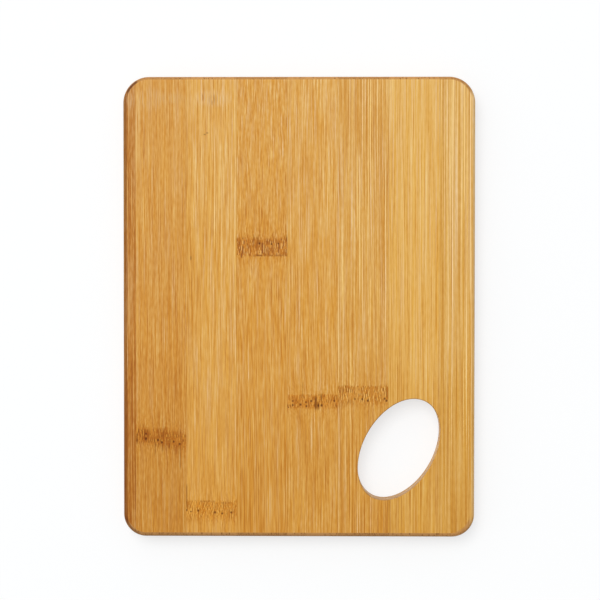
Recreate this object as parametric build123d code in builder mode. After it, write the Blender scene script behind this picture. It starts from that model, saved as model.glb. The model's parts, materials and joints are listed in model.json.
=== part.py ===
from build123d import *
import os

# Cutting board of flat-pressed bamboo strips, glued up in three crossed plies.
# The origin is the centre of the underside: +X runs across the strips of the work face,
# +Y along them, away from the user, and +Z up. All lengths are millimetres.

# Board outline and edges
board_width = 139.0
board_length = 182.0
far_corner_radius = 10.3
near_corner_radius = 9.0
edge_round = 1.5

# Plies, from the underside up
back_ply = 3.0
core_ply = 4.0
face_ply = 3.0

# Strips: each ply starts with a trimmed strip, then repeats the full width,
# and a rest thinner than the least strip stays on the last full one
strip_width = 20.0
least_strip = 2.0
face_first_strip = 4.9
core_first_strip = 6.0
back_first_strip = 8.0

# Oval finger hole, placed from the right-hand and near edges of the board
hole_length = 43.4
hole_width = 28.1
hole_tilt = 60.0
hole_from_right = 29.85
hole_from_near = 34.7
hole_edge_break = 0.3

# Values that follow from the sizes above
right_edge = board_width / 2
far_edge = board_length / 2
hole_centre = (right_edge - hole_from_right, hole_from_near - far_edge)
core_bottom = back_ply
face_bottom = back_ply + core_ply
board_thickness = back_ply + core_ply + face_ply


def strip_borders(first, total):
    # where the strips of a ply start and end, measured from its middle
    borders = [0.0]
    border = first
    while total - border > least_strip:
        borders.append(border)
        border += strip_width
    borders.append(total)
    return [place - total / 2 for place in borders]


def save(piece, name):
    piece.part.label = name
    export_step(piece.part, f"parts/{name}.step")


def mill_strip(name, bottom, ply, low, high, along, end_names):
    # one strip of a ply, cut to the outline of the finished board; where the finger hole
    # cuts it right through, each half is a piece of its own
    width = high - low
    middle = (low + high) / 2
    if along == Axis.Y:
        place, size = (middle, 0), (width, board_length)
    else:
        place, size = (0, middle), (board_width, width)
    with BuildPart() as strip:
        with BuildSketch(Plane.XY.offset(bottom)):
            with Locations(place):
                Rectangle(*size)
        extrude(amount=ply)
        add(finished_board.part, mode=Mode.INTERSECT)
    halves = strip.solids().sort_by(along)
    if len(halves) == 1:
        save(strip, name)
        return
    for half, end_name in zip(halves, end_names):
        with BuildPart() as piece:
            add(half)
        save(piece, f"{name}_{end_name}")


def mill_ply(ply_name, bottom, ply, first, total, along, end_names):
    borders = strip_borders(first, total)
    for count, (low, high) in enumerate(zip(borders, borders[1:]), start=1):
        mill_strip(f"{ply_name}_strip_{count}", bottom, ply, low, high, along, end_names)


# Outline of the finished board, which is cut, bored and rounded after the glue-up
with BuildPart() as finished_board:
    with BuildSketch() as outline:
        Rectangle(board_width, board_length)
        fillet(outline.vertices().group_by(Axis.Y)[-1], far_corner_radius)
        fillet(outline.vertices().group_by(Axis.Y)[0], near_corner_radius)
        with Locations(hole_centre):
            Ellipse(hole_length / 2, hole_width / 2, rotation=hole_tilt, mode=Mode.SUBTRACT)
    extrude(amount=board_thickness)
    flats = finished_board.faces().filter_by(GeomType.PLANE).filter_by(Axis.Z)
    outer_edges = [edge for flat in flats for edge in flat.outer_wire().edges()]
    hole_edges = [edge for flat in flats for wire in flat.inner_wires() for edge in wire.edges()]
    fillet(outer_edges, edge_round)
    chamfer(hole_edges, hole_edge_break)

os.makedirs("parts", exist_ok=True)
mill_ply("face", face_bottom, face_ply, face_first_strip, board_width, Axis.Y, ("near", "far"))
mill_ply("core", core_bottom, core_ply, core_first_strip, board_length, Axis.X, ("left", "right"))
mill_ply("back", 0, back_ply, back_first_strip, board_width, Axis.Y, ("near", "far"))
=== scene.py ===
import bpy
import bmesh
import json
import math
from functools import partial
import numpy as np
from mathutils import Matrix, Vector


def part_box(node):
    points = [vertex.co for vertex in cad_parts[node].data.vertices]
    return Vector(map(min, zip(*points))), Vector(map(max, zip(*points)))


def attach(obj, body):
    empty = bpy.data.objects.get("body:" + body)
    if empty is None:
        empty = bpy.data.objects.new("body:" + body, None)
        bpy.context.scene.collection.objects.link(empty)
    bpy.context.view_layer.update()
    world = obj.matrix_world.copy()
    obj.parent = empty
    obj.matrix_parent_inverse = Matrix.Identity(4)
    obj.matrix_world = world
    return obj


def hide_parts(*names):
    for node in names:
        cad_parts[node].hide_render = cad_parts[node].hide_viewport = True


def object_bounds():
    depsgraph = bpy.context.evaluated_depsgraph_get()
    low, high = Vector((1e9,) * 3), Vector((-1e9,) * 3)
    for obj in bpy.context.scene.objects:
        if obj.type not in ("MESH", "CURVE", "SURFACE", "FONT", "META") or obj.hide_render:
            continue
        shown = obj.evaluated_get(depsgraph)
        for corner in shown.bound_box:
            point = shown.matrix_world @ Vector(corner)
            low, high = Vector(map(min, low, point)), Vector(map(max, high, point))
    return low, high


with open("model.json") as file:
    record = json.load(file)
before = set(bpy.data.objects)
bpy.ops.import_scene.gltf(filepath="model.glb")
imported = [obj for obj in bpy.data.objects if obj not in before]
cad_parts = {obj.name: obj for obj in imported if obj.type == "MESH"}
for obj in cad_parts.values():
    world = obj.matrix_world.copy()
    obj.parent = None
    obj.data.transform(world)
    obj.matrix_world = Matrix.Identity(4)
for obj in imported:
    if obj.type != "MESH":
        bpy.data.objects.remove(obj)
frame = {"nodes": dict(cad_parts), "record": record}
cadLow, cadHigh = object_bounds()
mm = 0.001


# The finished outline that every strip is cut to

halfWidth, halfLength = cadHigh[0], cadHigh[1]
edgeRound = 1.5 * mm
farCorner = 10.3 * mm
nearCorner = 9.0 * mm

fingerHole = next(mount for mount in frame["record"]["mounts"] if mount["name"] == "finger_hole")
holeX, holeY = fingerHole["pos_m"][:2]
hole = {
    "length": 43.4 * mm,
    "width": 28.1 * mm,
    "tilt": math.radians(60),
    "edgeBreak": 0.3 * mm,
}

glueSeam = {"width": 0.06 * mm, "depth": 0.03 * mm}  # the fine V where two strips meet


def cornerLoss(beyond, radius):
    # how far a corner's arc falls back from the straight edge
    over = np.clip(beyond, 0, radius)
    return radius - np.sqrt(radius ** 2 - over ** 2)


def stripReach(across, lengthwise):
    # where the outline ends a strip, at each place across it
    if lengthwise:
        beyond = np.abs(across) - halfWidth
        near = cornerLoss(beyond + nearCorner, nearCorner)
        far = cornerLoss(beyond + farCorner, farCorner)
        return near - halfLength, halfLength - far
    radius = np.where(across > 0, farCorner, nearCorner)
    reach = halfWidth - cornerLoss(np.abs(across) - halfLength + radius, radius)
    return -reach, reach


def edgeDistance(x, y):
    # distance in from the outline
    radius = np.where(y > 0, farCorner, nearCorner)
    beyondX = np.abs(x) - halfWidth + radius
    beyondY = np.abs(y) - halfLength + radius
    outside = np.hypot(np.maximum(beyondX, 0), np.maximum(beyondY, 0))
    return radius - outside - np.minimum(np.maximum(beyondX, beyondY), 0)


def outlineNormal(x, y):
    tiny = 1e-6
    slopeX = edgeDistance(x + tiny, y) - edgeDistance(x - tiny, y)
    slopeY = edgeDistance(x, y + tiny) - edgeDistance(x, y - tiny)
    size = np.maximum(np.hypot(slopeX, slopeY), 1e-12)
    return -slopeX / size, -slopeY / size


def ovalForm(grow):
    # xx, xy and yy of the oval's equation about its centre
    half = hole["length"] / 2 + grow
    side = hole["width"] / 2 + grow
    c = math.cos(hole["tilt"])
    s = math.sin(hole["tilt"])
    return (c * c / half ** 2 + s * s / side ** 2,
            c * s * (1 / half ** 2 - 1 / side ** 2),
            s * s / half ** 2 + c * c / side ** 2)


def ovalValue(x, y, grow):
    # 1 on the oval, less inside it
    xx, xy, yy = ovalForm(grow)
    dx = x - holeX
    dy = y - holeY
    return xx * dx * dx + 2 * xy * dx * dy + yy * dy * dy


def ovalSpan(across, lengthwise, grow):
    # where the oval starts and ends along a strip; past its reach both are at its turning point
    aa, ab, bb = ovalForm(grow)
    middleA, middleB = holeX, holeY
    if not lengthwise:
        aa, bb = bb, aa
        middleA, middleB = holeY, holeX
    turn = math.sqrt(bb / (aa * bb - ab * ab))
    offset = np.clip(across - middleA, -turn, turn)
    middle = middleB - ab / bb * offset
    half = np.sqrt(np.maximum((ab * offset) ** 2 - bb * (aa * offset ** 2 - 1), 0)) / bb
    half = np.where(np.abs(offset) >= turn * 0.9999999, 0, half)
    return middle - half, middle + half, middleA - turn, middleA + turn


# One strip: a fine grid on its outer face, walls down to its inner face, and that face

roundSteps = edgeRound * (1 - np.cos(np.linspace(0, math.pi / 2, 9)))
cornerSteps = np.array([1.85, 2.3, 2.9, 3.7, 4.8, 6.2]) * mm  # more rows for the corners
endSteps = np.concatenate([roundSteps, cornerSteps])
turnSteps = np.array([0, 0.015, 0.05, 0.11, 0.2, 0.32]) * mm
seamSteps = np.array([0, 1, 2.5]) * glueSeam["width"]
closest = {"toSide": 0.01 * mm, "apart": 0.012 * mm}  # columns nearer than this are left out
onOutline = 1e-6  # a strip's side this near the outline is the board's own edge
reliefStart, reliefFade = 0.05, 0.35  # mm in from seams and rims
sharpAngle = math.radians(32)
tolerance = {
    "weld": 2e-7,
    "sliver": 1e-8,
    "onEdge": 0.06 * mm,
    "onRim": 0.004,  # of the oval's value, which is 1 on the rim
    "byRim": 0.08,
}
bakeRooms = {  # start and width of each face's room in the bake layout
    "outer": (0.01, 0.56),
    "inner": (0.59, 0.06),
    "hole": (0.93, 0.06),
    "lowSide": (0.67, 0.07),
    "highSide": (0.76, 0.07),
    "ends": (0.85, 0.06),
}


def evenSpread(low, high, step):
    return np.linspace(low, high, max(2, int(round((high - low) / step)) + 1))


def columnPlaces(low, high, step, limit, turns):
    places = np.unique(np.concatenate([
        evenSpread(low, high, step),
        low + (roundSteps if low < -limit + onOutline else seamSteps),
        high - (roundSteps if high > limit - onOutline else seamSteps),
        turns[0] + turnSteps,
        turns[1] - turnSteps]))
    places = places[(places > low + closest["toSide"]) & (places < high - closest["toSide"])]
    kept = [low]
    for place in places:
        if place - kept[-1] > closest["apart"]:
            kept.append(place)
    return np.array(kept + [high])


def openEdges(body):
    return [e for e in body.edges if len(e.link_faces) == 1]


def stripMesh(name, low, high, ply, part, rowPlaces, pits):
    # low and high bound the strip across its fibre
    inner, outer, lengthwise = ply["inner"], ply["outer"], ply["lengthwise"]
    thick = abs(outer - inner)
    grow = hole["edgeBreak"] if lengthwise else 0.0
    limit = halfWidth if lengthwise else halfLength
    turns = ovalSpan(np.array([low]), lengthwise, grow)[2:]
    columns = columnPlaces(low, high, ply["column"], limit, turns)
    lowReach, highReach = stripReach(columns, lengthwise)
    holeLow, holeHigh = ovalSpan(columns, lengthwise, grow)[:2]
    if turns[0] > high or turns[1] < low:
        runs = [(lowReach, highReach)]
    else:
        runs = [(lowReach, holeLow), (holeHigh, highReach)]
        runs = {"near": runs[:1], "left": runs[:1], "far": runs[1:], "right": runs[1:]}.get(part, runs)

    spots = []
    faces = []
    for first, last in runs:
        rows = [first + inset for inset in endSteps]
        rows += [np.clip(place, first + endSteps[-1], last - endSteps[-1]) for place in rowPlaces]
        rows += [last - inset for inset in endSteps[::-1]]
        along = np.stack(rows, axis=1)
        count = along.shape[1]
        across = np.repeat(columns[:, None], count, axis=1)
        start = len(spots)
        spots.extend(zip(across.ravel(), along.ravel()))
        for i in range(len(columns) - 1):
            for j in range(count - 1):
                corner = start + i * count + j
                faces.append((corner, corner + count, corner + count + 1, corner + 1))

    spots = np.array(spots)
    x, y = spots.T if lengthwise else spots.T[::-1]
    height = np.full(len(x), thick)
    if lengthwise:  # only the outer plies reach the rounded edge
        edge = np.clip(edgeDistance(x, y), 0, edgeRound)
        height -= edgeRound - np.sqrt(edgeRound ** 2 - (edgeRound - edge) ** 2)
        # the seam's V, square to the surface all the way round the edge
        gap = np.full(len(x), 1.0)
        if low > -limit + onOutline:
            gap = np.minimum(gap, spots[:, 0] - low)
        if high < limit - onOutline:
            gap = np.minimum(gap, high - spots[:, 0])
        sink = glueSeam["depth"] * np.clip(1 - gap / glueSeam["width"], 0, 1)
        lean = 1 - edge / edgeRound
        normalX, normalY = outlineNormal(x, y)
        height -= sink * np.sqrt(1 - lean ** 2)
        for pitX, pitY, pitRadius in pits:
            away = np.hypot(x - pitX * mm, (y - pitY * mm) * 0.8) / (pitRadius * mm)
            height -= relief["pitDepth"] * mm * np.exp(-away ** 2)
        x = x - normalX * sink * lean
        y = y - normalY * sink * lean

    body = bmesh.new()
    points = [body.verts.new(point) for point in zip(x, y, height)]
    for face in faces:
        body.faces.new([points[corner] for corner in face])
    bmesh.ops.remove_doubles(body, verts=body.verts, dist=tolerance["weld"])
    bmesh.ops.dissolve_degenerate(body, edges=body.edges, dist=tolerance["sliver"])
    topFaces = set(body.faces)
    topRim = {v for e in openEdges(body) for v in e.verts}
    mask = body.verts.layers.float.new("reliefMask")
    for v in body.verts:
        if v not in topRim:
            place = v.co.x if lengthwise else v.co.y
            rim = (math.sqrt(ovalValue(v.co.x, v.co.y, grow)) - 1) * hole["width"] / 2
            gap = min(place - low, high - place, abs(rim), float(edgeDistance(v.co.x, v.co.y)))
            v[mask] = min(1.0, max(0.0, (gap / mm - reliefStart) / reliefFade))
    closeStrip(body, thick, grow)
    markCuts(body, lengthwise)
    for v in body.verts:  # a back strip's outer face lies below its inner one
        v.co.z = inner + v.co.z if outer > inner else inner - v.co.z
    bmesh.ops.recalc_face_normals(body, faces=body.faces)
    if body.calc_volume(signed=True) < 0:
        bmesh.ops.reverse_faces(body, faces=body.faces)
    kind = body.faces.layers.int.new("faceKind")
    for face in body.faces:
        face.smooth = True
        face[kind] = 1 if face in topFaces else 0
    mesh = bpy.data.meshes.new(name)
    body.to_mesh(mesh)
    body.free()
    layOutBake(mesh, low, high, ply)
    mesh.set_sharp_from_angle(angle=sharpAngle)
    return mesh


def aboutHole(x, y, factor):
    # a point drawn in towards the hole's centre or pushed away from it
    return holeX + (x - holeX) * factor, holeY + (y - holeY) * factor


def wallPoint(point, level, thick, grow):
    # the next point down the wall: past the hole's broken edge, to the glue seam, to the inner face
    x, y, z = point
    onRim = min(abs(ovalValue(x, y, grow) - 1), abs(ovalValue(x, y, 0) - 1)) < tolerance["onRim"]
    onOuter = float(edgeDistance(x, y)) < tolerance["onEdge"]
    first = 0.25 * thick if onOuter else max(thick - max(grow, 0.4 * mm), 0.6 * thick)
    z = (first, glueSeam["width"], 0.0)[level]
    if onRim and level == 0:
        z = thick - max(grow, 0.05 * mm)
        x, y = aboutHole(x, y, 1 / math.sqrt(ovalValue(x, y, 0)))
    if onRim and level == 2:
        x, y = aboutHole(x, y, 1 + glueSeam["depth"] / (hole["width"] / 2))
    if onOuter and level == 2:
        normalX, normalY = outlineNormal(x, y)
        x -= normalX * glueSeam["depth"]
        y -= normalY * glueSeam["depth"]
    return x, y, z


def closeStrip(body, thick, grow):
    inHole = body.verts.layers.float.new("holeWall")
    for level in range(3):
        made = bmesh.ops.extrude_edge_only(body, edges=openEdges(body))["geom"]
        for v in [item for item in made if isinstance(item, bmesh.types.BMVert)]:
            v[inHole] = 1.0 if abs(ovalValue(v.co.x, v.co.y, 0) - 1) < tolerance["byRim"] else 0.0
            v.co = wallPoint(v.co, level, thick, grow)
    bmesh.ops.contextual_create(body, geom=openEdges(body))
    clear = body.verts.layers.float["reliefMask"]
    for v in body.verts:
        if not all(len(e.link_faces) == 2 for e in v.link_edges):
            v[clear] = 0.0


def markCuts(body, lengthwise):
    # how squarely the hole's wall cuts across the fibre
    inHole = body.verts.layers.float["holeWall"]
    acrossFibre = body.verts.layers.float.new("cutAcross")
    xx, xy, yy = ovalForm(0)
    for v in body.verts:
        if v[inHole]:
            dx = v.co.x - holeX
            dy = v.co.y - holeY
            slope = (xx * dx + xy * dy, xy * dx + yy * dy)
            v[acrossFibre] = abs(slope[1 if lengthwise else 0]) / math.hypot(*slope)


def readAll(items, name, size=1, kind=np.float32):
    values = np.empty(len(items) * size, dtype=kind)
    items.foreach_get(name, values)
    return values.reshape(-1, size) if size > 1 else values


def layOutBake(mesh, low, high, ply):
    # a bake layout with most of its room for the outer face, drawn out across the fibre
    counts = readAll(mesh.polygons, "loop_total", kind=np.int32)
    place = readAll(mesh.vertices, "co", 3)[readAll(mesh.loops, "vertex_index", kind=np.int32)]
    normal = np.repeat(readAll(mesh.polygons, "normal", 3), counts, axis=0)
    middle = np.repeat(readAll(mesh.polygons, "center", 3), counts, axis=0)
    kind = np.repeat(readAll(mesh.attributes["faceKind"].data, "value", kind=np.int32), counts)

    a, b = (0, 1) if ply["lengthwise"] else (1, 0)
    half = halfLength if ply["lengthwise"] else halfWidth
    share = (place[:, a] - low) / (high - low)
    run = 0.01 + 0.98 * ((place[:, b] + half) / (2 * half))
    rise = np.abs(place[:, 2] - ply["inner"]) / abs(ply["outer"] - ply["inner"])
    nearOval = ovalValue(middle[:, 0], middle[:, 1], 0) < 1.06
    turn = np.arctan2(place[:, 1] - holeY, place[:, 0] - holeX)
    if np.any(nearOval):
        mean = np.angle(np.mean(np.exp(1j * turn[nearOval])))
        turn = np.angle(np.exp(1j * (turn - mean)))
    wall = (kind == 0) & (np.abs(normal[:, 2]) < 0.9)
    longSide = wall & (np.abs(normal[:, a]) >= np.abs(normal[:, b]))
    # outer face, inner face, hole's wall, the two long sides, the near end, and the far end as the rest
    rules = [kind == 1, ~wall, wall & nearOval, longSide & (normal[:, a] < 0), longSide, normal[:, b] < 0]
    fills = (share, share, rise, rise, rise, rise)
    *rooms, ends = [start + room * fill for (start, room), fill in zip(bakeRooms.values(), fills)]
    u = np.select(rules[:5], rooms, ends)
    v = np.select(rules, [run, run, 0.5 + 0.49 * turn / math.pi, run, run, 0.01 + 0.48 * share],
                  0.51 + 0.48 * share)
    layer = mesh.uv_layers.new(name="OFBake")
    layer.data.foreach_set("uv", np.stack([u, v], axis=1).astype(np.float32).ravel())
    mesh.attributes.remove(mesh.attributes["faceKind"])


# Node helpers for the fibre pattern, which the relief and the finishes share

drawing = {"tree": None}  # the node tree that the helpers add to
noiseGain = 7  # brings noise about 0 to a spread of 1


def startTree(owner):
    # an empty tree in a material or the sky
    owner.use_nodes = True
    owner.node_tree.nodes.clear()
    drawing["tree"] = owner.node_tree


def addNode(kind, inputs=(), **settings):
    # a shader node goes by the short form of its name
    node = drawing["tree"].nodes.new(kind if "Node" in kind else "ShaderNode" + kind)
    for name, value in settings.items():
        setattr(node, name, value)
    for name, value in dict(inputs).items():
        feed(node.inputs[name], value)
    return node


def feed(socket, value):
    # a socket takes a link or a plain value, and a colour is given as three shares
    if isinstance(value, bpy.types.NodeSocket):
        drawing["tree"].links.new(value, socket)
    else:
        socket.default_value = (*value, 1) if socket.type == "RGBA" else value


def wire(kind, inputs=(), output=0, **settings):
    return addNode(kind, inputs, **settings).outputs[output]


def calc(operation, *terms):
    return wire("Math", enumerate(terms), operation=operation)


def fold(operation, value, *terms):
    for term in terms:
        value = calc(operation, value, term)
    return value


less = partial(calc, "SUBTRACT")
scaled = partial(calc, "MULTIPLY_ADD")  # value, factor, and what is added
total = partial(fold, "ADD")
times = partial(fold, "MULTIPLY")
highest = partial(fold, "MAXIMUM")
lowest = partial(fold, "MINIMUM")


def apart(first, second):
    return calc("ABSOLUTE", less(first, second))


def vecCalc(operation, first, second):
    output = "Value" if operation in ("DISTANCE", "DOT_PRODUCT") else "Vector"
    return wire("VectorMath", {0: first, 1: second}, output, operation=operation)


def vecScale(vector, factor):
    return wire("VectorMath", {0: vector, "Scale": factor}, operation="SCALE")


def join(x, y, z):
    return wire("CombineXYZ", {0: x, 1: y, 2: z})


def split(vector):
    return tuple(addNode("SeparateXYZ", {0: vector}).outputs)


def ease(value, start, end, low=0, high=1):
    # low at start, high at end, smooth between and level outside
    limits = {"From Min": start, "From Max": end, "To Min": low, "To Max": high}
    return wire("MapRange", {"Value": value, **limits}, interpolation_type="SMOOTHSTEP")


def window(value, low, high, softLow, softHigh):
    # 1 between low and high, with soft ends
    return times(ease(value, low - softLow, low + softLow), ease(value, high + softHigh, high - softHigh))


def noise(vector, detail=0):
    return less(wire("TexNoise", {"Vector": vector, "Scale": 1, "Detail": detail}), 0.5)


def drawnOut(point, across, along, through, seed):
    # the point for a pattern of these sizes in millimetres
    return vecCalc("ADD", vecCalc("DIVIDE", point, join(across, along, through)), join(seed, seed, seed))


def stretched(point, across, along, through, seed, detail=1):
    # noise drawn out along the fibre, about 0 with a spread of 1
    return times(noise(drawnOut(point, across, along, through, seed), detail), noiseGain)


def fibreTone(point, width, length, seed, crisp=0):
    # straight fibres, each with a tone of its own that changes along it, about 0 with a spread of 1;
    # crisp sets each off from the two beside it
    columnJump, layerJump = 7.13, 5.37
    x, y, z = split(point)
    sway = stretched(point, 1.9, 130, 1.9, seed + 61, 0)
    column = calc("FLOOR", calc("DIVIDE", scaled(sway, width * 0.5, x), width))
    layer = calc("FLOOR", scaled(z, 2, 0.5))
    tones = []
    for beside in (0, -1, 1) if crisp else (0,):
        tones.append(noise(join(scaled(column, columnJump, seed + beside * columnJump),
                                calc("DIVIDE", y, length), scaled(layer, layerJump, seed))))
    tone = tones[0]
    if crisp:
        tone = scaled(total(tones[1], tones[2]), -crisp, tone)
    return times(tone, noiseGain / math.sqrt(1 + 2 * crisp ** 2))


def bundles(point, across, along, through, seed):
    # distance from the nearest fibre bundle: dots on a cut end, hairlines along a face
    inputs = {"Vector": drawnOut(point, across, along, through, seed), "Scale": 1, "Randomness": 0.9}
    return wire("TexVoronoi", inputs, "Distance")


nodeGrowth = {"gather": 17, "over": 4.5, "fan": 0.32}  # how fibres shorten and fan at a culm's node, in mm


def nodePull(point, place, slope, middle, seed):
    # how far past the culm's node a point lies, and the point with its fibres shortened and fanned there
    x, y, z = split(point)
    past = less(y, scaled(less(x, middle), slope, place))
    squeeze = times(calc("TANH", calc("DIVIDE", past, nodeGrowth["over"])), nodeGrowth["gather"])
    reach = calc("EXPONENT", times(calc("POWER", calc("ABSOLUTE", past), 1.5), -0.03))
    fan = stretched(point, 3, 8, 3, total(seed, 3.7))
    bend = times(fan, nodeGrowth["fan"], reach)
    return past, reach, join(total(x, bend), total(y, squeeze), z)


# Fibre relief: raised and sunk fibres on the outer face, rougher at the node, always inwards

relief = {"nodeDepth": 0.035, "pitDepth": 0.09, "nodeRows": 0.42 * mm, "seedStep": 7.31}


def makeFibreRelief():
    tree = bpy.data.node_groups.new("fibreRelief", "GeometryNodeTree")
    tree.is_modifier = True
    drawing["tree"] = tree
    sizes = ("Fibre width", "Fibre length", "Ridge depth", "Node place", "Node slope", "Node middle",
             "Node height", "Node depth", "Seed")
    tree.interface.new_socket(name="Strip", in_out="OUTPUT", socket_type="NodeSocketGeometry")
    for name, kind in {"Strip": "Geometry", **dict.fromkeys(sizes, "Float"), "Finish": "Material"}.items():
        tree.interface.new_socket(name=name, in_out="INPUT", socket_type="NodeSocket" + kind)
    ids = {item.name: item.identifier for item in tree.interface.items_tree if item.in_out == "INPUT"}
    given = addNode("NodeGroupInput").outputs
    point = vecScale(wire("GeometryNodeInputPosition"), 1 / mm)
    culmNode = [given[name] for name in ("Node place", "Node slope", "Node middle", "Seed")]
    past, reach, pulled = nodePull(point, *culmNode)
    fibre = stretched(pulled, given["Fibre width"], given["Fibre length"], 2, given["Seed"])
    sunk = ease(fibre, 1, -1.6)
    band = ease(calc("ABSOLUTE", past), times(given["Node height"], 0.5), times(given["Node height"], 0.35))
    depth = scaled(band, given["Node depth"], given["Ridge depth"])
    mask = wire("GeometryNodeInputNamedAttribute", {"Name": "reliefMask"}, data_type="FLOAT")
    offset = vecScale(wire("GeometryNodeInputNormal"), times(sunk, depth, mask, -mm))
    moved = wire("GeometryNodeSetPosition", {"Geometry": given["Strip"], "Offset": offset})
    real = wire("GeometryNodeRealizeInstances", {0: moved})
    dressed = wire("GeometryNodeSetMaterial", {"Geometry": real, "Material": given["Finish"]})
    addNode("NodeGroupOutput", {0: dressed})
    return tree, ids


fibreRelief, reliefIds = makeFibreRelief()


def applyRelief(piece, settings):
    modifier = piece.modifiers.new("fibreRelief", "NODES")
    modifier.node_group = fibreRelief
    for name, value in settings.items():
        modifier[reliefIds[name]] = value
    graph = bpy.context.evaluated_depsgraph_get()
    plain = bpy.data.meshes.new_from_object(piece.evaluated_get(graph), preserve_all_data_layers=True,
                                            depsgraph=graph)
    piece.modifiers.remove(modifier)
    rough = piece.data
    piece.data = plain
    bpy.data.meshes.remove(rough)
    if "reliefMask" in plain.attributes:
        plain.attributes.remove(plain.attributes["reliefMask"])


# Bamboo finish, one material for each strip from its own dictionary

plainSide = (0.86, 0.82, 0.78)  # the long sides against the face

wear = {  # colours of stains and wear, in screen values
    "fleck": (108, 66, 26),
    "glue": (128, 78, 34),
    "burn": (84, 34, 4),
    "nodeEdge": (140, 78, 18),
    "streak": (112, 60, 6),
    "rootDot": (90, 40, 0),
}


def linear(colour):
    # a colour in screen values, 0 to 255, made linear
    return tuple((c / 255 / 12.92) if c <= 10 else ((c / 255 + 0.055) / 1.055) ** 2.4 for c in colour)


def shade(colour, factor):
    return tuple(c * f for c, f in zip(colour, factor))


def tint(factor, first, second, blendType="MIX"):
    return wire("Mix", {0: factor, 6: first, 7: second}, 2, data_type="RGBA", blend_type=blendType)


def stain(factor, colour, by):
    return tint(factor, colour, by, "MULTIPLY")


def paint(factor, colour, screenColour):
    return tint(factor, colour, linear(screenColour))


def cutEdge(x, y, lengthwise):
    # how far round the edge a point is, below 0 on the face, and how squarely the cut crosses the fibre
    radius = scaled(calc("GREATER_THAN", y, 0), (farCorner - nearCorner) / mm, nearCorner / mm)
    beyondX = total(less(calc("ABSOLUTE", x), halfWidth / mm), radius)
    beyondY = total(less(calc("ABSOLUTE", y), halfLength / mm), radius)
    outX = highest(beyondX, 0)
    outY = highest(beyondY, 0)
    outside = calc("SQRT", total(calc("POWER", outX, 2), calc("POWER", outY, 2)))
    inside = lowest(highest(beyondX, beyondY), 0)
    distance = less(less(radius, outside), inside)
    lean = less(1, calc("DIVIDE", distance, edgeRound / mm))
    return lean, calc("DIVIDE", outY if lengthwise else outX, highest(outside, 0.001))


def ovalFade(point, oval, outer, inner):
    # 1 inside an oval on the face, fading to 0 at its outer share
    x, y, wide, tall = oval
    local = vecCalc("MULTIPLY", point, (1 / wide, 1 / tall, 0))
    return ease(vecCalc("DISTANCE", local, (x / wide, y / tall, 0)), outer, inner)


def fibreSum(look, point, pulled, across, along, seed):
    # the strip's tone about 0: dashes, bands, clouds, long pale threads, drawn lines and dark hairlines
    dashWidth, dashLength, dashWeight = look["dash"]
    threadWidth, threadLength, threadWeight = look["thread"]
    dash = fibreTone(pulled, dashWidth, dashLength, seed, 0.35)
    fine = fibreTone(pulled, dashWidth * 0.6, dashLength * 0.6, seed + 1.9)
    short = fibreTone(pulled, dashWidth, 2.6, seed + 23)
    terms = [times(dash, dashWeight * 0.75), times(fine, dashWeight * 0.75), times(short, look["short"])]
    for name, through, shift in (("band", 4, 5.3), ("cloud", 6, 9.1)):
        width, length, weight = look[name]
        terms.append(times(stretched(point, width, length, through, seed + shift), weight))
    if threadWeight:
        thread = ease(bundles(point, threadWidth, threadLength, 4, seed + 12.7), 0.42, 0.12)
        terms.append(times(less(thread, 0.2), threadWeight))
    for lineX, lineWidth, strength, lineLow, lineHigh in look.get("lines", ()):
        wander = scaled(stretched(point, 400, 45, 400, seed + lineX, 0), 0.06, -lineX)
        shape = ease(calc("ABSOLUTE", total(across, wander)), lineWidth, lineWidth * 0.2)
        terms.append(times(shape, window(along, lineLow, lineHigh, 6, 6), strength))
    hair = ease(bundles(pulled, 0.52, dashLength * 1.6, 0.55, seed), 0.46, 0.2)
    gleam = ease(bundles(pulled, 0.56, dashLength * 1.8, 0.55, seed + 50), 0.46, 0.2)
    terms.append(times(less(hair, 0.15), -look["hair"]))
    terms.append(times(less(gleam, 0.15), look["gleam"]))
    fibres = total(*terms)
    if "nearContrast" in look:
        fibres = times(fibres, ease(along, -15, -60, 1, look["nearContrast"]))
    # painted light: the tone drifts paler towards the far end and deeper towards the near end
    fibres = scaled(along, look["drift"], fibres)
    for *oval, strength in look.get("zones", ()):
        fibres = scaled(ovalFade(point, oval, 1.3, 0.2), strength, fibres)
    return fibres, fine, hair


def fibreColour(look, tone, pulled, along, seed):
    # from deep to pale by tone, with greyer and redder fibres, and painted shade towards the near end
    base = linear(look["tone"])
    pale = linear(look["pale"])
    paler = tuple(b + 0.42 * (p - b) for b, p in zip(base, pale))
    ramp = addNode("ValToRGB", {0: tone})
    stops = ramp.color_ramp.elements
    stops[0].color = (*shade(base, (0.70, 0.52, 0.27)), 1)
    stops[1].color = (*pale, 1)
    for place, stop in ((0.25, shade(base, (0.86, 0.74, 0.52))), (0.5, base), (0.75, paler)):
        stops.new(place).color = (*stop, 1)
    dashWidth, dashLength = look["dash"][:2]
    ash = fibreTone(pulled, dashWidth * 1.3, dashLength * 1.4, seed + 27)
    colour = stain(ease(ash, 0.2, 1.7, 0, look["ash"]), ramp.outputs[0], (0.97, 1.02, 1.5))
    colour = stain(ease(ash, -0.2, -1.7, 0, look["ash"]), colour, (1.01, 0.95, 0.62))
    # painted shade: darker towards the near end
    return tint(ease(along, -10, -75, 0, look["nearShade"]), colour, (0, 0, 0))


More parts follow.
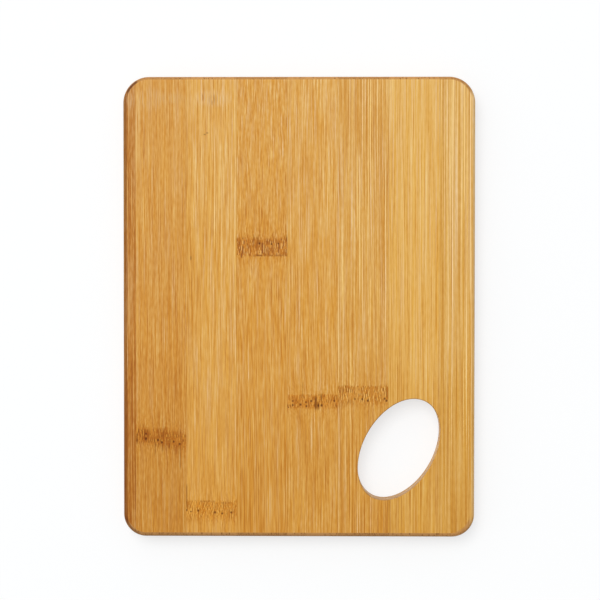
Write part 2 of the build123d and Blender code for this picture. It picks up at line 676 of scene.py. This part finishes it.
def nodeMark(mark, colour, point, past, reach, across, along, seed):
    # the culm's node: a darker band of short broken fibres, with root dots
    wave = scaled(fibreTone(point, 0.5, 60, seed + 40), mark["ragged"], past)
    half = mark["height"] / 2
    fadeTop, fadeBottom = mark["fade"]
    body = window(wave, -half, half, fadeBottom, fadeTop)
    colour = stain(times(reach, 0.35 * mark["strength"]), colour, (0.95, 0.85, 0.6))
    colour = stain(times(body, mark["strength"]), colour, mark["warm"])
    grain = fibreTone(point, 0.8, 7, seed + 44)
    smoke = times(ease(grain, -0.2, 1.4), body, mark["smoke"])
    for *oval, strength in mark.get("patches", ()):
        soft = times(ovalFade(point, oval, 1.25, 0.35), ease(grain, -2, 1.2, 0.3, 1), strength)
        smoke = highest(smoke, soft)
    colour = stain(smoke, colour, (0.6, 0.42, 0.16))
    flecks = fibreTone(point, 0.38, mark["fleckLength"], seed + 47, 0.3)
    colour = paint(times(ease(flecks, 0.2, 1.6), body, mark["flecks"]), colour, mark["dark"])
    colour = paint(times(ease(flecks, -0.5, -1.6), body, mark["flecks"] * 0.9), colour, mark["light"])
    for lineX, lineY, reachX, strength in mark.get("edges", ()):
        ends = ease(apart(across, lineX), reachX * 1.15, reachX * 0.8)
        broken = ease(fibreTone(point, 0.7, 20, seed + 49), -1.6, 0.6, 0.25, 1)
        cut = times(ease(apart(along, lineY), 0.5, 0.15), ends, broken, strength)
        colour = paint(cut, colour, wear["nodeEdge"])
    for streakX, streakLow, streakHigh, wide, strength in mark.get("streaks", ()):
        ends = window(along, streakLow, streakHigh, 1, 1)
        trail = times(ease(apart(across, streakX), wide, wide * 0.3), ends, strength)
        colour = paint(trail, colour, wear["streak"])
    dots = [ovalFade(point, (x, y, radius, radius * 1.2), 1.35, 0.4) for x, y, radius in mark["dots"]]
    return paint(times(highest(*dots), 0.85), colour, wear["rootDot"]), body


def cutColour(look, colour, point, place, ply, seed):
    # cut ends show the fibre bundles as dots; the long sides are a shade deeper than the face; the end bands
    # and outer rounded edges carry painted light and shade
    x, y, z = place
    along = y if ply["lengthwise"] else x
    heights = sorted((ply["inner"] / mm, ply["outer"] / mm), reverse=look["seed"] % 2 > 0.5)
    wallSide = ease(z, *heights)  # the culm's outer wall has finer, denser bundles
    fineDots = ease(bundles(point, 0.5, 60, 0.42, seed + 2), 0.44, 0.22)
    broadDots = ease(bundles(point, 1, 60, 0.8, seed + 3), 0.36, 0.2)
    dots = scaled(less(fineDots, broadDots), wallSide, broadDots)
    grain = stretched(point, 1.4, 90, 1, seed + 4)
    end = linear(look["end"])
    endColour = tint(ease(grain, -1.5, 1.5), shade(end, (0.93, 0.915, 0.89)), shade(end, (1.06, 1.07, 1.09)))
    endColour = stain(1, endColour, tint(wallSide, (1.08, 1.08, 1.08), (0.95, 0.92, 0.86)))
    endColour = tint(times(dots, 0.75), endColour, shade(end, (0.46, 0.36, 0.27)))
    inHole = wire("Attribute", output="Fac", attribute_name="holeWall")
    holeAcross = wire("Attribute", output="Fac", attribute_name="cutAcross")
    outerLean, outerAcross = cutEdge(x, y, ply["lengthwise"])
    lean = highest(outerLean, scaled(inHole, 1.5, -0.5))
    acrossFibre = highest(outerAcross, holeAcross)
    farShare = ease(along, -40, 40)
    # painted light: the end band lighter at the far end and darker at the near end
    endColour = stain(1, endColour, tint(farShare, look["nearEnd"], look["farEnd"]))
    endColour = stain(inHole, endColour, look["holeEnd"])
    turned = times(farShare, ease(acrossFibre, 0.2, 0.6))
    # the rounded edge's own colour, on its upper part only: painted shade on strip 1, a painted sheen on
    # strip 8
    upper = times(ease(z, 8.2, 9), less(1, turned))
    side = tint(inHole, tint(upper, plainSide, look["side"]), look["holeSide"])
    endLean = scaled(farShare, -look["farNarrow"], lean)
    cutEnd = times(ease(endLean, *look["endRamp"]), ease(acrossFibre, 0.25, 0.7))
    if "wornCorner" in look:
        *oval, strength = look["wornCorner"]
        cutEnd = highest(cutEnd, times(ovalFade(point, oval, 1.2, 0.5), ease(lean, -0.5, -0.25), strength))
    colour = stain(ease(lean, *look["sideRamp"]), colour, side)
    colour = tint(cutEnd, colour, endColour)
    if "burns" in look:
        thin = highest(times(ease(lean, 0.1, 0.3), ease(lean, 0.9, 0.6, 0.25, 1)), inHole)
        for burnX, burnY, reach, strength in look["burns"]:
            near = times(ovalFade(point, (burnX, burnY, reach, reach), 1, 0.4), strength)
            colour = paint(times(near, thin, ease(z, 7.7, 9)), colour, wear["burn"])
    return colour, times(dots, cutEnd)


def bambooFinish(name, look, mark, low, high, ply, seams):
    material = bpy.data.materials.new(name)
    startTree(material)
    seed = look["seed"] * relief["seedStep"]
    point = vecScale(wire("TexCoord", output="Object"), 1 / mm)
    place = x, y, z = split(point)
    if not ply["lengthwise"]:
        point = join(y, x, z)
    across, along = (x, y) if ply["lengthwise"] else (y, x)
    pulled = point
    if mark:
        past, reach, pulled = nodePull(point, mark["place"], mark["slope"], (low + high) / 2 / mm, seed)
    if "lengthen" in look:  # fibres get longer towards the near end
        pulledX, pulledY, pulledZ = split(pulled)
        pulled = join(pulledX, times(pulledY, scaled(pulledY, look["lengthen"], 1)), pulledZ)

    fibres, fine, hair = fibreSum(look, point, pulled, across, along, seed)
    tone = scaled(fibres, look["contrast"] / 14, 0.5)
    colour = fibreColour(look, tone, pulled, along, seed)
    roughness = scaled(tone, -0.12, look["roughness"] + 0.06)
    if mark:
        colour, body = nodeMark(mark, colour, point, past, reach, across, along, seed)
        roughness = scaled(body, 0.12, roughness)
    for *oval, strength in look.get("flecks", ()):
        colour = paint(times(ovalFade(point, oval, 1.1, 0.3), strength), colour, wear["fleck"])
    for *oval, strength, rubColour in look.get("rubs", ()):
        broken = ease(fibreTone(point, 0.36, 6, seed + oval[0], 0.3), -0.5, 1.2, 0, strength)
        colour = paint(times(ovalFade(point, oval, 1.2, 0.35), broken), colour, rubColour)

    # glue lines beside the neighbouring strips
    nearest = lowest(*[apart(across, seam / mm) for seam in seams])
    patchy = ease(stretched(point, 30, 16, 30, seed + 21), -1.3, 1.3, 0.35, 1)
    colour = paint(times(ease(nearest, 0.26, 0.05), patchy, look["glue"]), colour, wear["glue"])

    colour, cutDots = cutColour(look, colour, point, place, ply, seed)
    height = less(total(times(fine, 0.35), times(hair, -1)), cutDots)
    bump = wire("Bump", {"Strength": 0.35, "Distance": 0.012 * mm, "Height": height})
    surface = wire("BsdfPrincipled", {"Base Color": colour, "Roughness": roughness, "Normal": bump,
                                      "Specular IOR Level": look["gloss"]})
    addNode("OutputMaterial", {0: surface})
    return material


plies = {  # heights of the inner and outer face, and steps of the grid across and along the fibre
    "face": {"inner": 7 * mm, "outer": 10 * mm, "lengthwise": True, "column": 0.24 * mm, "row": 2.4 * mm},
    "core": {"inner": 3 * mm, "outer": 7 * mm, "lengthwise": False, "column": 0.6 * mm, "row": 5 * mm},
    "back": {"inner": 3 * mm, "outer": 0.0, "lengthwise": True, "column": 0.3 * mm, "row": 2.6 * mm},
}
noNode = {"place": 1000.0, "slope": 0.0, "height": 1.0}  # far off the board


def putInScene(name, data):
    item = bpy.data.objects.new(name, data)
    bpy.context.scene.collection.objects.link(item)
    return item


def makeStrip(node, strip):
    look = {**plainBamboo, **strip}
    mark = {**plainNode, **look["node"]} if "node" in look else None
    ply = plies[node.split("_")[0]]
    boxLow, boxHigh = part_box(node)
    axis = 0 if ply["lengthwise"] else 1
    low, high = boxLow[axis], boxHigh[axis]
    limit, half = (halfWidth, halfLength) if ply["lengthwise"] else (halfLength, halfWidth)
    rows = evenSpread(-half + 2 * mm, half - 2 * mm, ply["row"])
    pits = []
    if mark:
        bandLow, bandHigh = (mark["place"] - mark["height"]) * mm, (mark["place"] + mark["height"]) * mm
        rows = np.sort(np.concatenate([rows, evenSpread(bandLow, bandHigh, relief["nodeRows"])]))
        pits = mark["dots"]
    seams = [side for side in (low, high) if abs(side) < limit - onOutline]
    finish = bambooFinish("bamboo_" + node, look, mark, low, high, ply, seams)
    mesh = stripMesh(node + "_bamboo", low, high, ply, node.rsplit("_", 1)[-1], rows, pits)
    piece = putInScene(node + "_bamboo", mesh)
    if ply["lengthwise"]:
        ridgeWidth, ridgeLength, ridgeDepth = look["ridge"]
        at = mark or noNode
        applyRelief(piece, {
            "Fibre width": ridgeWidth, "Fibre length": ridgeLength, "Ridge depth": ridgeDepth,
            "Node place": at["place"], "Node slope": at["slope"], "Node middle": (low + high) / 2 / mm,
            "Node height": at["height"], "Node depth": relief["nodeDepth"],
            "Seed": look["seed"] * relief["seedStep"], "Finish": finish})
    else:
        mesh.attributes.remove(mesh.attributes["reliefMask"])
        mesh.materials.append(finish)
    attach(piece, "root")
    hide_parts(node)


plainBamboo = {
    "slot": "bamboo_honey",
    "dash": (0.38, 16.0, 1.0),  # width, length in mm and weight of the short fibres
    "band": (1.6, 60.0, 0.12),
    "cloud": (6.0, 45.0, 0.22),
    "thread": (1.8, 260.0, 0.0),  # long pale lines, evenly spaced
    "hair": 1.6,  # thin dark fibres
    "gleam": 1.6,  # thin light fibres
    "short": 0.55,  # broken bits of fibre
    "ash": 0.6,  # greyer and redder fibres
    "pale": (238, 202, 134),  # colour of the palest fibres
    "contrast": 1.95,
    "drift": 0.007,  # painted light: paler towards the far end, deeper towards the near end, as the sheen falls off
    "nearShade": 0.03,  # and how much painted shade darkens that end
    "roughness": 0.44,
    "gloss": 0.14,
    "glue": 0.16,
    "ridge": (0.9, 30.0, 0.012),  # width, length and depth of the raised fibres
    "side": plainSide,  # the rounded edge along the fibre; strip 1 gives it painted shade, strip 8 a painted sheen
    "sideRamp": (0.05, 0.3),  # where round the edge the cut's own colour starts and is full
    "end": (180, 132, 78),
    "endRamp": (-0.14, 0.0),
    "farNarrow": 0.33,  # the far end's band is this much narrower
    # painted light on the cut end's band: lighter at the far end, which faces the lamp, darker at the near
    # end
    "farEnd": (1.12, 1.1, 1.05),
    "nearEnd": (0.95, 0.95, 0.95),
    "holeEnd": (1.25, 1.35, 1.2),  # the hole's wall is sanded paler than the outer edge
    "holeSide": (1.0, 1.03, 1.1),
}

plainNode = {
    "slope": 0.0,
    "ragged": 0.4,  # how far the fibres break its edges, in mm
    "fade": (0.6, 0.9),  # softness of its far and near edge
    "strength": 1.0,
    "warm": (0.92, 0.74, 0.42),  # its colour against the strip's
    "smoke": 0.4,  # brown clouding
    "flecks": 0.7,  # dark and light bits of fibre
    "fleckLength": 2.0,
    "dark": (150, 86, 22),
    "light": (216, 154, 66),
}

# where the cutter scorched the left-hand corners: x, y, reach and strength
cornerBurns = [(-66.6, 85.8, 2.5, 0.85), (-65, 87.8, 2.3, 0.8),
               (-67.2, -85.4, 3.6, 0.45), (-65, -87.9, 3.2, 0.4)]

# strip 7 is cut in two by the hole
seventhStrip = {"slot": "bamboo_pale", "seed": 7.0, "tone": (225, 172, 84), "drift": 0.012, "contrast": 1.85,
                "nearShade": 0.05, "dash": (0.38, 28.0, 0.8), "short": 0.3}

# zones, patches, flecks and rubs are ovals: x, y, half width, half length, strength, and a rub's colour
# lines: x, width, strength, two ends; streaks: x, two ends, width, strength
# edges: x, y, reach, strength; dots: x, y, radius
faceStrips = {}
faceStrips["face_strip_1"] = {"slot": "bamboo_brown", "seed": 1.0, "tone": (190, 125, 46),
    "pale": (212, 160, 92), "dash": (0.38, 30.0, 1.1), "band": (1.1, 90.0, 1.0), "contrast": 2.4,
    "drift": 0.014, "nearShade": 0.05,
    # the left rounded edge: partly a darker burnished edge, partly painted shade
    "zones": [(-65.4, -84, 1.3, 9, 2.4), (-68.2, -78, 1.1, 16, -1.4)], "side": (0.58, 0.53, 0.52),
    "sideRamp": (0.0, 0.08),
    "burns": cornerBurns,
    "rubs": [(-66.6, 82, 2.5, 5, 0.45, (222, 186, 136))]}
faceStrips["face_strip_2"] = {"seed": 2.0, "tone": (210, 148, 62), "pale": (230, 186, 112),
    "dash": (0.38, 20.0, 1.0), "contrast": 1.65, "drift": 0.01, "nearShade": 0.06,
    "lines": [(-64.1, 0.25, 2.8, -50, 95)],
    "zones": [(-54.6, -52, 12, 14, -0.5), (-62.5, 25, 3.5, 40, 0.5)],
    "node": {"place": -51.8, "height": 6.6, "slope": -0.13, "ragged": 0.5, "fade": (1.4, 1.4),
        "strength": 0.85, "flecks": 0.8, "dark": (136, 76, 12), "light": (214, 150, 56),
        "warm": (0.88, 0.72, 0.42),
        "patches": [(-60.8, -50.6, 1.6, 3, 0.95), (-55.6, -49.8, 1.2, 3.2, 0.6),
            (-53.2, -50.6, 1.6, 3.4, 0.9), (-58, -52.5, 5, 1.6, 0.5), (-52.8, -54.6, 3.2, 2.4, 0.5),
            (-48.6, -56, 1.4, 2.6, 0.4)],
        "dots": [(-60.6, -50.2, 0.36), (-60.6, -52.2, 0.48), (-55.8, -52.7, 0.45), (-54.3, -53.6, 0.45),
            (-49.6, -53.3, 0.45), (-47.2, -54.2, 0.4)],
        "streaks": [(-57, -58.5, -53, 0.3, 0.4), (-54, -57.5, -54, 0.5, 0.35), (-51.2, -56, -53.8, 0.35, 0.5),
            (-47, -64, -54.5, 0.4, 0.35), (-64.2, -54, -51, 0.5, 0.5)]},
    "burns": cornerBurns,
    "rubs": [(-58.5, 82, 6, 5, 0.5, (226, 192, 140)), (-50, 82.5, 6, 2.5, 0.35, (210, 174, 122))]}
faceStrips["face_strip_3"] = {"slot": "bamboo_pale", "seed": 3.0, "tone": (220, 163, 76),
    "dash": (0.38, 17.0, 0.95), "thread": (1.2, 90.0, 0.7), "short": 0.35, "contrast": 1.75,
    "nearContrast": 0.8, "nearShade": 0.0,
    "zones": [(-43.2, 5, 4.5, 75, -0.8), (-33, -10, 7, 32, 0.5), (-26.5, -60, 3, 14, -0.8),
        (-34, 84, 12, 12, -0.5)],
    "lines": [(-40.9, 0.24, 3, 30, 60), (-38.5, 0.22, 3, 58, 95), (-33.3, 0.24, 3, 25, 66),
        (-30.6, 0.22, 3, 5, 64), (-28.6, 0.2, 2, 55, 90), (-25.2, 0.3, 2.8, 0, 95),
        (-25.1, 0.22, 1.5, -70, 0), (-31.7, 0.24, 5, 80.5, 83.5), (-29.4, 0.24, 5, 78, 84)],
    "node": {"place": -80.5, "height": 7.3, "slope": -0.03, "fade": (0.3, 2.2), "strength": 0.85,
        "smoke": 0.25, "flecks": 0.66, "fleckLength": 1.3, "dark": (164, 98, 24), "light": (234, 180, 86),
        "warm": (0.97, 0.835, 0.52),
        "patches": [(-43.6, -78.2, 1.6, 2.2, 0.55), (-36.6, -78.4, 0.9, 1.6, 0.4),
            (-27.2, -82, 2.6, 3.4, 0.4), (-43.4, -84, 1.3, 2.2, 0.4)],
        "edges": [(-36.3, -77, 3, 0.4), (-29.2, -77.6, 2.5, 0.4)],
        "dots": [(-44.5, -80.5, 0.42), (-42.8, -81.1, 0.3), (-39.9, -80.7, 0.42), (-33.2, -81.4, 0.45),
            (-30.4, -81.8, 0.4), (-26.8, -81.4, 0.4)],
        "streaks": [(-44.4, -79.5, -70.5, 0.3, 0.55)]},
    "flecks": [(-37.2, 68.2, 0.6, 0.4, 0.5), (-36.2, 68.8, 0.6, 0.4, 0.5), (-42.7, 19.5, 0.35, 1.2, 0.55)],
    "rubs": [(-34, 82.4, 8.5, 3.6, 0.55, (234, 206, 160)), (-34, 82, 2, 2.6, 1, (190, 142, 84)),
        (-38, 82.8, 0.8, 1.8, 0.8, (184, 124, 62))]}
faceStrips["face_strip_4"] = {"seed": 4.0, "tone": (215, 154, 65), "pale": (234, 194, 122),
    "dash": (0.38, 11.0, 1.0), "lengthen": 0.0026, "contrast": 1.6,
    "zones": [(-14.6, 24, 14, 14, -0.7), (-22.5, -77, 3.5, 13, -1.2), (-14.6, -35, 14, 26, 0.4)],
    "node": {"place": 24.0, "height": 7.0, "fade": (0.9, 0.3), "strength": 0.95, "flecks": 0.95,
        "dark": (146, 84, 32), "light": (228, 172, 92), "warm": (0.875, 0.725, 0.5),
        "patches": [(-15.8, 24.6, 1.5, 2.4, 0.9), (-13, 21.9, 1.4, 1.8, 0.8), (-12, 25.8, 2, 1.3, 0.75),
            (-8.1, 25.2, 1.2, 1.6, 0.85), (-18, 24.8, 1, 1.5, 0.7), (-19.8, 24.2, 0.9, 1.6, 0.5),
            (-5.6, 21.4, 1.6, 1.2, 0.6), (-24, 25.4, 0.8, 1.6, 0.6), (-10, 22.8, 1.6, 1.6, 0.6)],
        "edges": [(-16.2, 20.5, 1.8, 0.8), (-9.5, 20.5, 5, 0.5)],
        "dots": [(-15.6, 25.2, 0.4), (-10.8, 25, 0.38), (-8.1, 25.2, 0.34)],
        "streaks": [(-17.8, 25.5, 28.5, 0.4, 0.4), (-16.2, 25.5, 28, 0.6, 0.35),
            (-4.9, 26, 28.5, 0.45, 0.5)]}}
faceStrips["face_strip_5"] = {"seed": 5.0, "tone": (217, 158, 70), "dash": (0.38, 19.0, 0.95),
    "contrast": 1.7, "short": 0.4,
    "zones": [(13.2, 60, 4, 45, 0.7), (4.5, -66, 6.5, 24, -0.7), (8, -12, 4, 16, -0.5)],
    "lines": [(0.2, 0.22, 2.4, -10, 60), (11.2, 0.22, 2.6, 30, 64), (7.7, 0.22, 2.8, -32, -15),
        (5, 0.2, 2.4, -56, -42)],
    "node": {"place": -37.2, "height": 5.4, "ragged": 0.15, "fade": (0.25, 1.0), "strength": 0.8,
        "smoke": 0.35, "flecks": 0.78, "dark": (150, 84, 14), "light": (226, 166, 76),
        "warm": (0.94, 0.76, 0.42),
        "patches": [(7.2, -38.8, 1.2, 2.2, 1), (6.6, -36.6, 0.8, 2, 0.7), (13.4, -35.8, 2.2, 1.4, 0.5),
            (-2.4, -36, 3.4, 1.2, 0.35)],
        "dots": [(-2.4, -37.1, 0.34), (-2.4, -38.7, 0.4), (-4.1, -39.6, 0.26), (0.7, -38.5, 0.4),
            (2.8, -37.6, 0.34), (3, -39.1, 0.36), (4.9, -37.1, 0.45), (7.7, -38.9, 0.45), (9, -38.8, 0.5),
            (14, -37, 0.38)],
        "streaks": [(6.7, -40.2, -35.4, 0.65, 0.75), (7.7, -40.2, -37.6, 0.55, 0.75),
            (8.9, -37, -34.6, 0.4, 0.75), (1.5, -36.5, -30, 0.25, 0.3)]}}
faceStrips["face_strip_6"] = {"seed": 6.0, "tone": (214, 157, 72), "dash": (0.36, 30.0, 0.85),
    "thread": (1.1, 200.0, 1.3), "short": 0.35, "contrast": 1.8, "nearContrast": 1.02, "nearShade": 0.0,
    "pale": (241, 206, 140),
    "zones": [(25, 10, 16, 42, 0.8), (25, 78, 16, 24, -0.7), (33.6, 32, 4, 40, -1), (33.6, 86, 4, 12, 1.2),
        (19, -22, 6, 14, 0.6)],
    "lines": [(15.7, 0.28, 1.4, -30, 62), (19.8, 0.22, 3, 58, 95), (20.9, 0.24, 2.8, 30, 95),
        (23.1, 0.22, 3.8, 28, 62), (23.9, 0.24, 4.2, 5, 62), (25, 0.22, 4, 58, 95), (25.1, 0.22, 4, -10, 16),
        (27.4, 0.22, 3.4, -5, 95), (28.2, 0.25, 5.5, 56, 95), (28.2, 0.22, 3.4, -10, 14),
        (30.9, 0.22, 4.2, 56, 95), (33, 0.26, 3.2, 56, 95), (34.1, 0.24, 2.4, -5, 58),
        (16.8, 0.3, -3, -75, -55), (20.1, 0.3, -3.8, -84, -55), (22.7, 0.3, -3.8, -70, -52),
        (21.2, 0.25, -3, -95, -75), (24.7, 0.25, -2.6, -95, -80), (26, 0.32, -4.6, -95, -76),
        (31.3, 0.25, -3.8, -95, -80), (34.7, 0.25, -3, -95, -80)],
    "node": {"place": -34.7, "height": 7.2, "ragged": 0.2, "fade": (0.3, 1.6), "strength": 0.7, "smoke": 0.25,
        "flecks": 0.85, "dark": (154, 90, 22), "light": (236, 186, 98), "warm": (0.94, 0.79, 0.48),
        "patches": [(17.4, -32.6, 2, 1.9, 0.9), (20.2, -32.4, 1.7, 1.6, 0.8), (17.6, -38, 2.2, 2.6, 0.45),
            (34.4, -33, 1.4, 2.6, 0.5), (31, -31.8, 1.6, 1, 0.5), (27, -32.4, 1.4, 1.4, 0.35)],
        "dots": [(25.1, -36.3, 0.4), (27.3, -36.9, 0.46), (33.9, -36.1, 0.4), (34.7, -36.9, 0.42),
            (22.2, -36.3, 0.3)],
        "streaks": [(34.7, -36, -30.8, 0.4, 0.15)]}}
faceStrips["face_strip_7_far"] = {**seventhStrip, "thread": (1.7, 260.0, 1.8),
    "zones": [(47.5, -20, 6, 18, 0.8), (47.5, 35, 5, 30, 0.3)],
    "burns": [(53.4, -39.4, 4.5, 0.45)],
    "lines": [(41.2, 0.22, 2.2, -30, 54), (45.5, 0.22, 2, -30, 48), (47.9, 0.26, 2.8, -95, 54),
        (50.3, 0.24, 2.6, -95, 54), (52.8, 0.22, 2.4, -60, 30), (54.2, 0.22, 2.2, 30, 56)]}
faceStrips["face_strip_7_near"] = {**seventhStrip, "thread": (1.7, 260.0, 1.4),
    "zones": [(47.5, -78, 4, 12, 0.7)],
    "lines": [(37.5, 0.22, 2, -95, -70), (47.9, 0.25, 1.8, -95, 56), (50.5, 0.22, 1.2, -95, 56)]}
faceStrips["face_strip_8"] = {"slot": "bamboo_pale", "seed": 8.0, "tone": (217, 164, 78),
    "pale": (244, 210, 145), "dash": (0.38, 60.0, 0.85), "thread": (1.7, 400.0, 1.3), "short": 0.25,
    # painted sheen on the right rounded edge, and painted light on the near end band
    "side": (1.08, 1.22, 1.85), "sideRamp": (0.02, 0.15), "nearEnd": (1.15, 1.15, 1.15),
    "wornCorner": (65.6, -87.2, 4.5, 4.5, 0.75),
    "zones": [(62.5, 75, 12, 22, 0.35), (62.5, -70, 12, 22, 0.4), (57.2, 5, 3.2, 75, -0.8),
        (60.2, 45, 2.3, 60, 1.4), (63.6, -62, 2.2, 26, 1)],
    "lines": [(57.5, 0.3, 2.2, -30, 95), (59.1, 0.22, 1.4, -30, 62), (60.7, 0.28, 2, -30, 95),
        (62.5, 0.26, 2.4, -20, 95), (64.1, 0.24, 1.8, -20, 60), (65.2, 0.28, 4, 42, 95),
        (66.1, 0.25, 2, -32, 60), (67.6, 0.28, 3.6, 5, 84), (59.6, 0.22, 1.4, -95, -40),
        (67.1, 0.24, 2, -72, -42)]}

for node, strip in faceStrips.items():
    makeStrip(node, strip)
print("face strips built:", len(faceStrips))

coreStrip = {"slot": "bamboo_core", "dash": (0.6, 30.0, 1.0), "tone": (204, 156, 92), "pale": (224, 184, 122),
             "end": (192, 148, 94), "glue": 0.5}
coreStrips = sorted(name for name in frame["nodes"] if name.startswith("core_strip"))

for count, node in enumerate(coreStrips):
    deeper = (1.03 - 0.09 * ((count * 5) % 4) / 3,) * 3  # neighbours differ a little
    makeStrip(node, {**coreStrip, "seed": 20.0 + count, "tone": shade(coreStrip["tone"], deeper),
                     "end": shade(coreStrip["end"], deeper)})
print("core strips built:", len(coreStrips))

backStrip = {"slot": "bamboo_back", "dash": (0.62, 18.0, 1.0), "thread": (1.1, 240.0, 1.0),
             "tone": (213, 157, 83)}
backNodes = {  # a node mark where each back strip has one: place along it and height
    "back_strip_2": (38.0, 7.0), "back_strip_3": (-61.0, 6.5), "back_strip_5": (12.0, 7.5),
    "back_strip_6": (66.0, 6.0), "back_strip_8": (-22.0, 7.0),
}
backDots = {"shares": (0.15, 0.3, 0.52, 0.66, 0.85), "lowest": -1.2, "step": 0.5, "radius": 0.42}
backStrips = sorted(name for name in frame["nodes"] if name.startswith("back_strip"))

for count, node in enumerate(backStrips):
    deeper = (1 - 0.06 * ((count * 3) % 5) / 4,) * 3
    strip = {**backStrip, "seed": 40.0 + count, "tone": shade(backStrip["tone"], deeper)}
    if node in backNodes:
        boxLow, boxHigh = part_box(node)
        place, height = backNodes[node]
        spread = [boxLow[0] / mm + (boxHigh[0] - boxLow[0]) / mm * share for share in backDots["shares"]]
        dots = [(dotX, place + backDots["lowest"] + backDots["step"] * ((count + i) % 3), backDots["radius"])
                for i, dotX in enumerate(spread)]
        slope = 0.02 * (count - 4)
        strip["node"] = {"place": place, "height": height, "slope": slope, "ragged": 0.6, "dots": dots}
    makeStrip(node, strip)
print("back strips built:", len(backStrips))


# Floor, light and camera

studio = {
    "floorReach": 3.0,
    "floorColour": 0.85,
    "floorShade": 0.33,  # how much of the light's play on the floor the camera sees
    "floorGlow": 0.668,  # the rest of the white ground
    "floorTint": (1.0, 1.012, 1.02),  # takes back the warm light that the board throws on it
    "skyLevel": 0.42,
    "skyLeast": 0.02,
    "skyLean": 0.9,  # how much brighter it is at the far left than the near right
    "skyToward": (-0.58, 0.68, 0.45),
    "lampPower": 99.0,
    "lampPlace": (-0.9, 1.56, 3.9),
    "lampSize": (2.4, 2.4),
}

camera = {
    "place": (0.010712, 0.01989, 0.70956),
    "turn": (-1.3913, 0.8425, 0.0265),
    "lens": 106.26,
}


def seenRays():
    # 1 for the rays that show the ground or sky itself
    rays = addNode("LightPath").outputs
    return highest(*[rays[name] for name in ("Is Camera Ray", "Is Glossy Ray", "Is Transmission Ray")])


def makeFloor():
    mesh = bpy.data.meshes.new("studioFloor")
    reach = studio["floorReach"]
    corners = [(-reach, -reach, 0), (reach, -reach, 0), (reach, reach, 0), (-reach, reach, 0)]
    mesh.from_pydata(corners, [], [(0, 1, 2, 3)])
    floor = putInScene("studioFloor", mesh)
    material = bpy.data.materials.new("studioFloor")
    startTree(material)
    seen = seenRays()
    colour = tint(seen, (studio["floorColour"],) * 3, (studio["floorShade"],) * 3)
    matt = wire("BsdfDiffuse", {"Color": colour})
    glow = wire("Emission", {"Color": studio["floorTint"], "Strength": times(seen, studio["floorGlow"])})
    addNode("OutputMaterial", {0: wire("AddShader", {0: matt, 1: glow})})
    mesh.materials.append(material)


def makeLight():
    world = bpy.data.worlds.new("studioSky")
    startTree(world)
    seen = seenRays()
    toward = vecCalc("DOT_PRODUCT", wire("TexCoord", output="Generated"), studio["skyToward"])
    lit = scaled(toward, studio["skyLevel"] * studio["skyLean"], studio["skyLevel"])
    lit = times(highest(lit, studio["skyLeast"]), less(1.0, seen))
    sky = wire("Background", {"Color": (1, 1, 1), "Strength": total(lit, seen)})
    addNode("OutputWorld", {0: sky})
    bpy.context.scene.world = world
    lamp = bpy.data.lights.new("softbox", "AREA")
    lamp.shape = "RECTANGLE"
    lamp.size, lamp.size_y = studio["lampSize"]
    lamp.energy = studio["lampPower"]
    holder = putInScene("softbox", lamp)
    holder.location = studio["lampPlace"]
    holder.rotation_euler = holder.location.normalized().to_track_quat("Z", "Y").to_euler()


def makeCamera():
    lens = bpy.data.cameras.new("photoCamera")
    lens.lens = camera["lens"]
    lens.clip_start = 0.01
    holder = putInScene("photoCamera", lens)
    holder.location = camera["place"]
    holder.rotation_euler = [math.radians(angle) for angle in camera["turn"]]
    bpy.context.scene.camera = holder


makeFloor()
makeLight()
makeCamera()
bpy.context.scene.view_settings.view_transform = "Standard"
print("floor, light and camera set")
